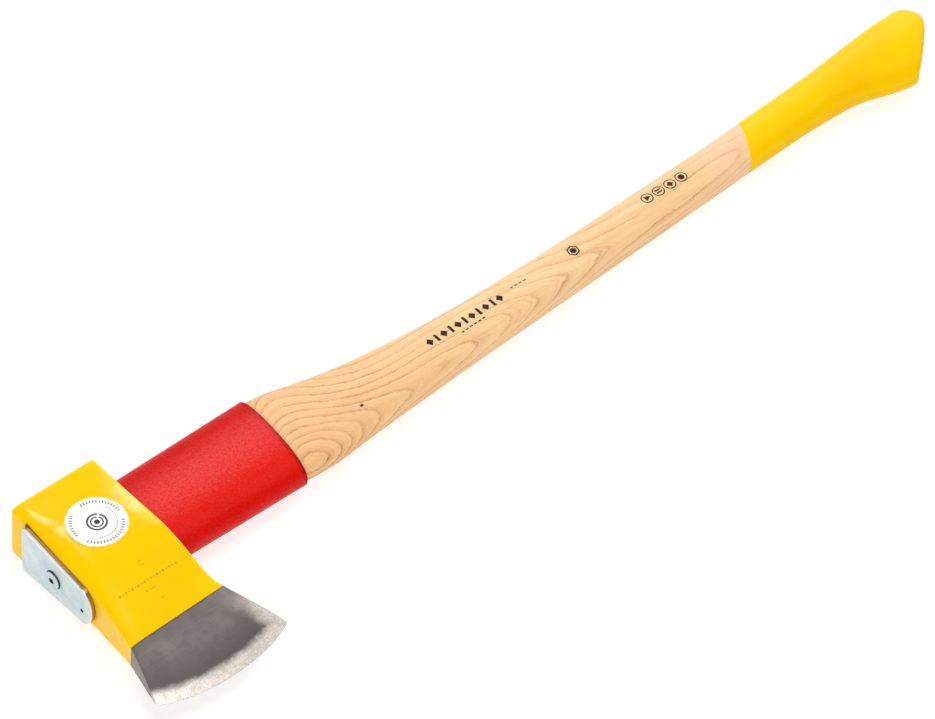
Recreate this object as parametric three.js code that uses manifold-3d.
// Splitting axe: forged head with a through eye, curved ash handle with an
// overstrike sleeve, wooden eye wedge, and a screwed securing plate.
// Millimetres. +X runs along the handle from the head to the knob, +Y points to
// the poll, -Y to the cutting edge, +Z is the thickness of the tool as it lies flat.
// The pieces are built around the eye axis (y = 0, z = 0, x = 0 on the outer face
// of the securing plate); the outer group then moves the origin to the middle
// of the flat poll face.
import * as THREE from "three";
import { mergeVertices } from "three/addons/utils/BufferGeometryUtils.js";
import Module from "manifold-3d";

const { lerp, mapLinear, euclideanModulo } = THREE.MathUtils;
const manifold = await Module();
manifold.setup();

// ------------------------------------------------------- shared dimensions
const GAP = 0.3; // clearance between neighbouring pieces
const SIDE_X = 3.7; // face of the head under the securing plate
const UNDER_X = 72; // face of the head towards the handle, at the poll
const POLL_Y = 50.2; // flat striking face
const CHEEK_Z = 23.5; // half thickness over the eye

// eye through the head: [x, half length in y, half width in z]
const EYE_ROWS = [
  [-2, 31.6, 14.3],
  [SIDE_X, 31.2, 14.1],
  [30, 29.6, 12.6],
  [52, 29.2, 12.3],
  [90, 30.6, 12.9],
];
// Roundness is the exponent of an oval: 2 is an ellipse, higher is squarer.
const EYE_ROUNDNESS = 2.5;
const EYE_POINTS = 32;
const OVAL_POINTS = 28; // points round the sleeve and the handle

// ------------------------------------------------------------------ helpers
const axe = new THREE.Group();
axe.name = "axe";

function addPiece(name, geometry, finish) {
  const mesh = new THREE.Mesh(geometry, new THREE.MeshStandardMaterial(finish));
  mesh.name = name;
  axe.add(mesh);
}

// Welds a closed geometry, drops its collapsed triangles and makes it a solid.
function toSolid(geometry) {
  geometry.deleteAttribute("normal");
  geometry.deleteAttribute("uv");
  const welded = mergeVertices(geometry, 1e-4);
  const index = welded.index.array;
  const triangles = [];
  for (let i = 0; i < index.length; i += 3) {
    const [a, b, c] = index.slice(i, i + 3);
    if (a !== b && b !== c && c !== a) triangles.push(a, b, c);
  }
  return new manifold.Manifold(
    new manifold.Mesh({
      numProp: 3,
      vertProperties: new Float32Array(welded.attributes.position.array),
      triVerts: new Uint32Array(triangles),
    }),
  );
}

function toGeometry(solid) {
  const mesh = solid.getMesh();
  const geometry = new THREE.BufferGeometry();
  geometry.setAttribute("position", new THREE.Float32BufferAttribute(mesh.vertProperties, 3));
  geometry.setIndex(Array.from(mesh.triVerts));
  return geometry;
}

function signedVolume(points, triangles) {
  let volume = 0;
  for (const triangle of triangles) {
    const [a, b, c] = triangle.map((i) => new THREE.Vector3(...points[i]));
    volume += a.dot(b.cross(c));
  }
  return volume;
}

// Joins equal rings of points into a closed solid. The cap triangles index into one
// ring, in the ring's own direction.
function skin(rings, capTriangles) {
  const count = rings[0].length;
  const farStart = (rings.length - 1) * count;
  const points = rings.flat();
  const triangles = [];
  for (let start = 0; start < farStart; start += count) {
    for (let i = 0; i < count; i++) {
      const a = start + i;
      const b = start + ((i + 1) % count);
      triangles.push([a, b, b + count], [a, b + count, a + count]);
    }
  }
  for (const [a, b, c] of capTriangles) {
    triangles.push([a, c, b], [farStart + a, farStart + b, farStart + c]);
  }
  // faces must point outwards, whichever way the rings turn
  const insideOut = signedVolume(points, triangles) < 0;
  const outward = insideOut ? triangles.map(([a, b, c]) => [a, c, b]) : triangles;
  const geometry = new THREE.BufferGeometry();
  geometry.setAttribute("position", new THREE.Float32BufferAttribute(points.flat(), 3));
  geometry.setIndex(outward.flat());
  return toSolid(geometry);
}

// For rings whose first half runs over the top and second half back underneath:
// the caps join each top point to the bottom point beneath it.
function loft(rings) {
  const count = rings[0].length;
  const cap = [];
  for (let i = 0; i + 1 < count / 2; i++) {
    const below = count - 1 - i;
    cap.push([i, i + 1, below - 1], [i, below - 1, below]);
  }
  return skin(rings, cap);
}

// Oval ring around (x, y), leaning by rake = dx / dy.
function oval({ x, y = 0, halfY, halfZ, roundness, points = OVAL_POINTS, rake = 0 }) {
  const bulge = (value) => Math.sign(value) * Math.abs(value) ** (2 / roundness);
  const ring = [];
  for (let i = 0; i < points; i++) {
    const angle = ((i + 0.5) * 2 * Math.PI) / points;
    const offsetY = halfY * bulge(Math.cos(angle));
    ring.push([x + rake * offsetY, y + offsetY, halfZ * bulge(Math.sin(angle))]);
  }
  return ring;
}

const eyeOval = (x, halfY, halfZ, points = EYE_POINTS) =>
  oval({ x, halfY, halfZ, roundness: EYE_ROUNDNESS, points });

// Solid cylinder parallel to the x axis, from x0 to x1.
function rod({ radius, x0, x1, y = 0, z = 0, segments }) {
  const geometry = new THREE.CylinderGeometry(radius, radius, x1 - x0, segments);
  geometry.rotateZ(Math.PI / 2);
  geometry.translate((x0 + x1) / 2, y, z);
  return toSolid(geometry);
}

// Solid turned about the x axis; the profile is [radius, x].
function turned(profile, segments) {
  const points = profile.map(([radius, x]) => new THREE.Vector2(radius, x));
  const geometry = new THREE.LatheGeometry(points, segments);
  geometry.rotateZ(-Math.PI / 2); // +Y of the lathe becomes +X
  return toSolid(geometry);
}

// --------------------------------------------------------------------- head
const EDGE_HALF = 0.25; // half thickness of the cutting edge
// Sections from the poll to the cutting edge:
// [y, x on the plate side, x on the handle side, half thickness mid cheek,
//  half thickness at the plate side, width of the roll there,
//  drop at the handle side edge, bow towards -Y at mid width]
const HEAD_ROWS = [
  [POLL_Y, 4.6, 70.9, 22.4, 18.6, 11, 1.2, 0],
  [49.6, 3.9, 71.6, 23.1, 19.4, 12, 1.2, 0],
  [47.5, SIDE_X, UNDER_X, CHEEK_Z, 20.0, 13, 1.0, 0],
  [28.0, SIDE_X, 72.8, CHEEK_Z, 19.8, 14, 1.0, 0],
  [5.0, SIDE_X, 73.4, CHEEK_Z, 18.2, 15, 1.0, 0],
  [-18.0, SIDE_X, 74.0, CHEEK_Z, 16.3, 16, 1.0, 0],
  [-28.0, SIDE_X, 74.1, 22.6, 15.3, 16, 1.0, 0],
  [-40.0, SIDE_X, 74.1, 20.5, 14.2, 16, 1.0, 0],
  [-50.0, 2.6, 74.0, 18.2, 13.2, 15, 1.0, 0],
  [-62.0, 1.4, 74.0, 15.3, 11.9, 14, 0.9, 0.2],
  [-72.0, 0.3, 74.8, 13.0, 10.6, 13, 0.9, 0.6],
  [-82.0, -1.3, 77.8, 10.9, 9.2, 12, 0.8, 1.3],
  [-92.0, -4.0, 82.6, 8.7, 7.5, 10, 0.7, 2.6],
  [-102.0, -6.9, 87.4, 6.4, 5.7, 9, 0.5, 4.5],
  [-111.0, -9.7, 91.4, 4.2, 3.8, 7, 0.35, 7.0],
  [-118.0, -11.7, 94.2, 2.4, 2.2, 6, 0.2, 9.3],
  [-123.2, -13.4, 96.0, EDGE_HALF, EDGE_HALF, 5, 0, 11.5],
];
const HEAD_STEPS = 14; // steps across the cheek
// This share of the steps crowds into this share of the width, over the plate side roll.
const CROWD = { steps: 0.4, width: 0.22, power: 1.6 };
const BOW_POWER = 2.15;
const HANDLE_SIDE_BEVEL = 1.2; // width of the bevel on the handle side edge

function widthShare(step) {
  const u = step / HEAD_STEPS;
  if (u < CROWD.steps) return (u / CROWD.steps) ** CROWD.power * CROWD.width;
  return CROWD.width + ((u - CROWD.steps) / (1 - CROWD.steps)) * (1 - CROWD.width);
}

function headRing([y, plateX, handleX, midZ, plateZ, roll, drop, bow]) {
  const top = [];
  for (let i = 0; i < HEAD_STEPS; i++) {
    const share = widthShare(i);
    const x = lerp(plateX, handleX, share);
    const rolled = Math.min(1, (x - plateX) / roll);
    top.push([
      x,
      y - bow * (1 - Math.abs(2 * share - 1) ** BOW_POWER),
      plateZ + (midZ - plateZ) * Math.sqrt(1 - (1 - rolled) ** 2),
    ]);
  }
  top.push([handleX - HANDLE_SIDE_BEVEL, y, midZ], [handleX, y, midZ - drop]);
  const bottom = top.map(([px, py, pz]) => [px, py, -pz]).reverse();
  return [...top, ...bottom];
}

function makeHead() {
  const eye = loft(EYE_ROWS.map((row) => eyeOval(...row)));
  return loft(HEAD_ROWS.map(headRing)).subtract(eye);
}
addPiece("axe_head", toGeometry(makeHead()), {
  color: 0xfece00,
  roughness: 0.35,
  metalness: 0.3,
});

// ------------------------------------------------------------------- sleeve
const SLEEVE_X0 = 74.4;
const SLEEVE_X1 = 185.8;
const SLEEVE_END_Y = 0.1; // centre of the far rim
const SLEEVE_RAKE = 0.065; // the far rim is square to the handle, which has begun to curve
const SLEEVE_WALL = 1.5;
const SLEEVE_HALF_Y0 = 37.7; // outer half length at the head
const SLEEVE_HALF_Y1 = 39.3; // and at the far rim
const SLEEVE_HALF_Z = 16;
const SLEEVE_ROUNDNESS = 2.4;
const BORE_OVERRUN = 8; // the bore is cut this far past the far rim
const NECK = { halfY: 30.2, halfZ: 12.6, before: 5, after: 8 }; // opening towards the head

const sleeveHalfY = (x) => mapLinear(x, SLEEVE_X0, SLEEVE_X1, SLEEVE_HALF_Y0, SLEEVE_HALF_Y1);

function sleeveOval(x, halfY, inset, placement) {
  return oval({
    x,
    halfY: halfY - inset,
    halfZ: SLEEVE_HALF_Z - inset,
    roundness: SLEEVE_ROUNDNESS,
    ...placement,
  });
}

function makeSleeve() {
  const boreX0 = SLEEVE_X0 + SLEEVE_WALL;
  const boreX1 = SLEEVE_X1 + BORE_OVERRUN;
  const outer = loft([
    sleeveOval(SLEEVE_X0, SLEEVE_HALF_Y0, 1.6),
    sleeveOval(SLEEVE_X0 + 0.6, SLEEVE_HALF_Y0, 0.5),
    sleeveOval(SLEEVE_X0 + 1.8, SLEEVE_HALF_Y0, 0),
    sleeveOval(SLEEVE_X1, SLEEVE_HALF_Y1, 0, { y: SLEEVE_END_Y, rake: SLEEVE_RAKE }),
  ]);
  const bore = loft([
    sleeveOval(boreX0, SLEEVE_HALF_Y0, 2.6),
    sleeveOval(boreX0 + 1.2, SLEEVE_HALF_Y0, SLEEVE_WALL),
    sleeveOval(boreX1, sleeveHalfY(boreX1), SLEEVE_WALL, { y: SLEEVE_END_Y }),
  ]);
  const neck = loft([
    eyeOval(SLEEVE_X0 - NECK.before, NECK.halfY, NECK.halfZ),
    eyeOval(SLEEVE_X0 + NECK.after, NECK.halfY, NECK.halfZ),
  ]);
  return outer.subtract(bore).subtract(neck);
}
addPiece("overstrike_sleeve", toGeometry(makeSleeve()), {
  color: 0xdd2418,
  roughness: 0.45,
  metalness: 0.2,
});

// ------------------------------------------- wedge, kerf and screw clearance
// The wedge is driven from the plate side, into a kerf in the tongue of the handle.
const TONGUE_X = 4.6; // end of the tongue, under the plate
const WEDGE_X0 = 4.8;
const WEDGE_X1 = 52;
const WEDGE_T0 = 10; // thickness at the driven end
const WEDGE_T1 = 2.4;
const WEDGE_HALF_Y = 26;
const KERF_X0 = TONGUE_X - 4; // starts clear of the tongue
const KERF_X1 = WEDGE_X1 + 1.5;
const KERF_HALF_Y = 40; // wider than the tongue

const SCREW_TIP_X = 44;
const SCREW_CREST_R = 3;

const wedgeThickness = (x) => mapLinear(x, WEDGE_X0, WEDGE_X1, WEDGE_T0, WEDGE_T1);

// Block across the tongue that follows the wedge, with clearance on each face.
function taper(x0, x1, halfY, clearance) {
  const ring = (x) => {
    const halfZ = wedgeThickness(x) / 2 + clearance;
    return [
      [x, -halfY, halfZ],
      [x, halfY, halfZ],
      [x, halfY, -halfZ],
      [x, -halfY, -halfZ],
    ];
  };
  return loft([ring(x0), ring(x1)]);
}

const screwBore = rod({
  radius: SCREW_CREST_R + GAP,
  x0: -4,
  x1: SCREW_TIP_X + 2,
  segments: 20,
});

// ------------------------------------------------------------------- handle
// [x, centre y, half height in y, half thickness in z]
const HANDLE_ROWS = [
  [SLEEVE_X1, SLEEVE_END_Y, 37.4, 14.2],
  [193, -0.4, 37.7, 14.3],
  [202, -1.1, 37.4, 14.3],
  [215, -2.6, 35.7, 14.2],
  [230, -3.9, 33.0, 14.0],
  [250, -5.2, 29.9, 13.9],
  [275, -6.2, 27.0, 13.7],
  [300, -6.8, 24.7, 13.6],
  [325, -7.0, 22.9, 13.5],
  [350, -6.9, 21.6, 13.4],
  [400, -6.1, 19.8, 13.2],
  [450, -4.6, 18.8, 13.0],
  [500, -2.7, 18.1, 12.8],
  [550, -0.7, 17.6, 12.6],
];
// End of the handle, by pairs of points on its outline on the +Y and -Y sides:
// [x at +Y, y at +Y, x at -Y, y at -Y, half thickness in z]
const KNOB_ROWS = [
  [590, 18.2, 582, -16.7, 12.4],
  [624.6, 20.0, 605.8, -15.3, 12.3],
  [660, 21.7, 636, -13.9, 12.3],
  [690, 23.6, 662, -12.8, 12.6],
  [712, 25.5, 684, -12.9, 13.2],
  [734.6, 27.9, 703.6, -13.7, 13.9],
  [751.5, 29.5, 715.8, -15.5, 14.3],
  [767.5, 30.7, 727.7, -19.2, 14.6],
  [781.2, 31.0, 738.7, -22.7, 14.8],
  [791.9, 29.8, 746.9, -24.5, 14.9],
  [797.0, 24.2, 753.7, -25.5, 14.8],
  [799.7, 17.9, 758.6, -25.2, 14.5],
  [798.1, 12.3, 763.3, -20.1, 13.6],
];
const FIRST_COATED = 1; // first knob row under the dip coat
const BARE_ROWS = KNOB_ROWS.slice(0, FIRST_COATED);
const COATED_ROWS = KNOB_ROWS.slice(FIRST_COATED);
const HANDLE_ROUNDNESS = 2.25;
const RAKE_STEP = 0.01; // the sections lean a step more with each row, up to a limit
const RAKE_STEPS = 4;
const TONGUE_SLACK = 0.15; // on top of the gap to the eye
const TONGUE_MAX_HALF_Y = 29.9;
const DIP_SKIN = 0.4; // thickness of the dip coat
const DIP_GAP = 0.1;

// back moves the section towards the head
function knobOval([topX, topY, bottomX, bottomY, halfZ], inset = 0, back = inset / 2) {
  const halfY = (topY - bottomY) / 2;
  return oval({
    x: (topX + bottomX) / 2 - back,
    y: (topY + bottomY) / 2,
    halfY: halfY - inset,
    halfZ: halfZ - inset,
    roundness: HANDLE_ROUNDNESS,
    rake: (topX - bottomX) / (2 * halfY),
  });
}

// Knob rings inset by the same amount, but for the last, which closes the end.
function insetKnob(rows, inset, end) {
  const rings = rows.slice(0, -1).map((row) => knobOval(row, inset));
  return [...rings, knobOval(rows.at(-1), end.inset, end.back)];
}

function tongueOval(x) {
  const next = EYE_ROWS.findIndex(([station]) => x <= station);
  const [x0, halfY0, halfZ0] = EYE_ROWS[next - 1];
  const [x1, halfY1, halfZ1] = EYE_ROWS[next];
  const inset = GAP + TONGUE_SLACK;
  const halfY = Math.min(mapLinear(x, x0, x1, halfY0, halfY1) - inset, TONGUE_MAX_HALF_Y);
  return eyeOval(x, halfY, mapLinear(x, x0, x1, halfZ0, halfZ1) - inset, OVAL_POINTS);
}

const ovalInSleeve = (x, extraInset = 0) =>
  sleeveOval(x, sleeveHalfY(x), SLEEVE_WALL + GAP + extraInset);

function handleOval([x, y, halfY, halfZ], i) {
  const rake = i === 0 ? SLEEVE_RAKE : RAKE_STEP * Math.min(i, RAKE_STEPS);
  return oval({ x, y, halfY, halfZ, roundness: HANDLE_ROUNDNESS, rake });
}

function makeHandle() {
  const coreInset = DIP_SKIN + DIP_GAP;
  const shaft = loft([
    ...[TONGUE_X, 30, 52, SLEEVE_X0 + 2.4].map(tongueOval),
    ovalInSleeve(SLEEVE_X0 + 2.9, 3.4),
    ovalInSleeve(SLEEVE_X0 + 6.5),
    ovalInSleeve(150),
    ...HANDLE_ROWS.map(handleOval),
    ...BARE_ROWS.map((row) => knobOval(row)),
    ...insetKnob(COATED_ROWS, coreInset, { inset: coreInset + 0.9, back: 1.5 }),
  ]);
  const kerf = taper(KERF_X0, KERF_X1, KERF_HALF_Y, GAP);
  return shaft.subtract(kerf).subtract(screwBore);
}
addPiece("ash_handle", toGeometry(makeHandle()), {
  color: 0xf6d3a0,
  roughness: 0.55,
  metalness: 0,
});

const wedge = taper(WEDGE_X0, WEDGE_X1, WEDGE_HALF_Y, 0).subtract(screwBore);
addPiece("handle_wedge", toGeometry(wedge), { color: 0xd9b583, roughness: 0.6, metalness: 0 });

// ----------------------------------------------------------------- dip coat
const COAT_OVERRUN = 6; // the hollow is cut this far past the open end, towards the head

function makeDipCoat() {
  const [topX, topY, bottomX, bottomY, halfZ] = COATED_ROWS[0];
  const ahead = [topX - COAT_OVERRUN, topY, bottomX - COAT_OVERRUN, bottomY, halfZ];
  const outer = loft(COATED_ROWS.map((row) => knobOval(row)));
  const end = { inset: DIP_SKIN + 0.4, back: 0.8 };
  const hollow = loft(insetKnob([ahead, ...COATED_ROWS], DIP_SKIN, end));
  return outer.subtract(hollow);
}
addPiece("grip_dip_coat", toGeometry(makeDipCoat()), {
  color: 0xfdc905,
  roughness: 0.35,
  metalness: 0,
});

// ----------------------------------------------------------- securing plate
const PLATE_X1 = SIDE_X - GAP; // face towards the head; the outer face is at x = 0
const PLATE_BEVEL = 0.6;
const PLATE_POLL_Y = 33.9;
const PLATE_TIP_Y = -39.2;
const PLATE_CORNER = 5.6; // radius of the poll corners
const PLATE_HALF_POLL = 21.8; // half width at the poll end
const PLATE_HALF_BIT = 16.7; // half width at the bit end
const PLATE_ROUND_FROM = -27.5; // the bit end turns round from here
const TIP_STEPS = 9;
const CORNER_STEPS = 6;
const PLATE_HOLE = { y: -29.3, z: -3.9, radius: 1.5 };
const SCREW_HEAD_R = 6.6;
const SEAT_R = SCREW_HEAD_R + 0.5;
const SEAT_BORE_R = SCREW_CREST_R + 0.6;

// Outline at one x, from the tip along the +Z side and back along the -Z side.
function plateRing(x, inset) {
  const half = [];
  // bit end: a quarter of an ellipse
  for (let i = 0; i <= TIP_STEPS; i++) {
    const angle = (i / TIP_STEPS) * (Math.PI / 2);
    const reach = PLATE_TIP_Y + inset - PLATE_ROUND_FROM;
    half.push([
      x,
      PLATE_ROUND_FROM + reach * Math.cos(angle),
      (PLATE_HALF_BIT - inset) * Math.sin(angle),
    ]);
  }
  // poll corner: a quarter circle
  const cornerY = PLATE_POLL_Y - inset - PLATE_CORNER;
  const cornerZ = PLATE_HALF_POLL - inset - PLATE_CORNER;
  for (let i = 0; i <= CORNER_STEPS; i++) {
    const angle = (i / CORNER_STEPS) * (Math.PI / 2);
    half.push([
      x,
      cornerY + PLATE_CORNER * Math.sin(angle),
      cornerZ + PLATE_CORNER * Math.cos(angle),
    ]);
  }
  const mirrored = half.slice(1).map(([px, y, z]) => [px, y, -z]);
  return [...half, ...mirrored.reverse()];
}

function makePlate() {
  const rings = [
    plateRing(0, PLATE_BEVEL),
    plateRing(PLATE_BEVEL * 0.8, 0),
    plateRing(PLATE_X1, 0),
  ];
  // the whole outline is in sight of its tip, so a fan from there fills it
  const cap = [];
  for (let i = 1; i + 1 < rings[0].length; i++) cap.push([0, i, i + 1]);
  const seatProfile = [
    [0, -3],
    [SEAT_R, -3],
    [SEAT_R, 0.45],
    [SEAT_BORE_R, 2.2],
    [SEAT_BORE_R, 6],
    [0, 6],
  ];
  const hole = rod({ ...PLATE_HOLE, x0: -4, x1: 8, segments: 16 });
  return skin(rings, cap).subtract(turned(seatProfile, 32)).subtract(hole);
}
addPiece("securing_plate", toGeometry(makePlate()), {
  color: 0xc9d2d4,
  roughness: 0.3,
  metalness: 0.9,
});

// ----------------------------------------------------------- securing screw
const SCREW_HEAD_TOP = -2.1;
const SCREW_SHANK_R = 2.9;
const SCREW_ROOT_R = 2.1;
const SCREW_TIP_R = 0.25;
const THREAD_X0 = 7.8;
const THREAD_PITCH = 3.2;
const THREAD_RINGS_PER_TURN = 4;
const THREAD_POINTS = 16; // points round each ring
const THREAD_FADE_IN = 2; // length over which the crest rises
const TIP_LENGTH = 7; // length over which the root tapers
const SOCKET = { radius: 2.3, depth: 2.6, lobes: 6, lobeHeight: 0.12, points: 36, overrun: 2 };

// [radius, x] from the top of the domed head to the end of the shank
const SCREW_PROFILE = [
  [0, SCREW_HEAD_TOP],
  [2.6, SCREW_HEAD_TOP + 0.05],
  [4.6, SCREW_HEAD_TOP + 0.45],
  [6.0, SCREW_HEAD_TOP + 1.25],
  [SCREW_HEAD_R, SCREW_HEAD_TOP + 2.1],
  [SCREW_HEAD_R, 0.3],
  [SCREW_SHANK_R, 2.0],
  [SCREW_SHANK_R, 8.0],
  [SCREW_ROOT_R, 8.8],
  [0, 8.8],
];

// One ring of a coarse thread: a helical crest on a root that tapers at the tip.
function threadRing(x) {
  const tip = Math.min(1, (SCREW_TIP_X - x) / TIP_LENGTH);
  const root = lerp(SCREW_TIP_R, SCREW_ROOT_R, tip);
  const fadeIn = Math.min(1, (x - THREAD_X0) / THREAD_FADE_IN);
  const height = (SCREW_CREST_R - SCREW_ROOT_R) * fadeIn * Math.min(1, tip * 1.5);
  const ring = [];
  for (let i = 0; i < THREAD_POINTS; i++) {
    const turn = (i + 0.5) / THREAD_POINTS;
    const phase = euclideanModulo(x / THREAD_PITCH - turn, 1);
    const crest = Math.max(0, 1 - Math.abs(phase - 0.5) * 4);
    const radius = root + height * crest;
    const angle = turn * 2 * Math.PI;
    ring.push([x, radius * Math.cos(angle), radius * Math.sin(angle)]);
  }
  return ring;
}

function makeThread() {
  const length = SCREW_TIP_X - THREAD_X0;
  const steps = Math.round((length / THREAD_PITCH) * THREAD_RINGS_PER_TURN);
  const rings = [];
  for (let i = 0; i <= steps; i++) rings.push(threadRing(THREAD_X0 + (length * i) / steps));
  return loft(rings);
}

// six-lobed driving socket, blind
function makeSocket() {
  const outline = [];
  for (let i = 0; i < SOCKET.points; i++) {
    const angle = (i / SOCKET.points) * 2 * Math.PI;
    const radius = SOCKET.radius * (1 + SOCKET.lobeHeight * Math.cos(SOCKET.lobes * angle));
    outline.push(new THREE.Vector2(radius * Math.cos(angle), radius * Math.sin(angle)));
  }
  const geometry = new THREE.ExtrudeGeometry(new THREE.Shape(outline), {
    depth: SOCKET.depth + SOCKET.overrun,
    bevelEnabled: false,
  });
  geometry.rotateY(Math.PI / 2);
  geometry.translate(SCREW_HEAD_TOP - SOCKET.overrun, 0, 0);
  return toSolid(geometry);
}

const screw = turned(SCREW_PROFILE, 28).add(makeThread()).subtract(makeSocket());
addPiece("securing_screw", toGeometry(screw), {
  color: 0xb9c0c2,
  roughness: 0.3,
  metalness: 0.95,
});

// -------------------------------------------------------------------- label
// round label on the +Z cheek
const LABEL = { x: 40.1, y: 5.1, radius: 21, thickness: 0.25, gap: 0.05 };

function makeLabel() {
  const { x, y, radius, thickness, gap } = LABEL;
  const geometry = new THREE.CylinderGeometry(radius, radius, thickness, 48);
  geometry.rotateX(Math.PI / 2);
  geometry.translate(x, y, CHEEK_Z + gap + thickness / 2);
  return geometry;
}
addPiece("cheek_label", makeLabel(), { color: 0xf8f8f6, roughness: 0.5, metalness: 0 });

// origin in the middle of the flat poll face
axe.position.set(-(SIDE_X + UNDER_X) / 2, -POLL_Y, 0);

export default axe;
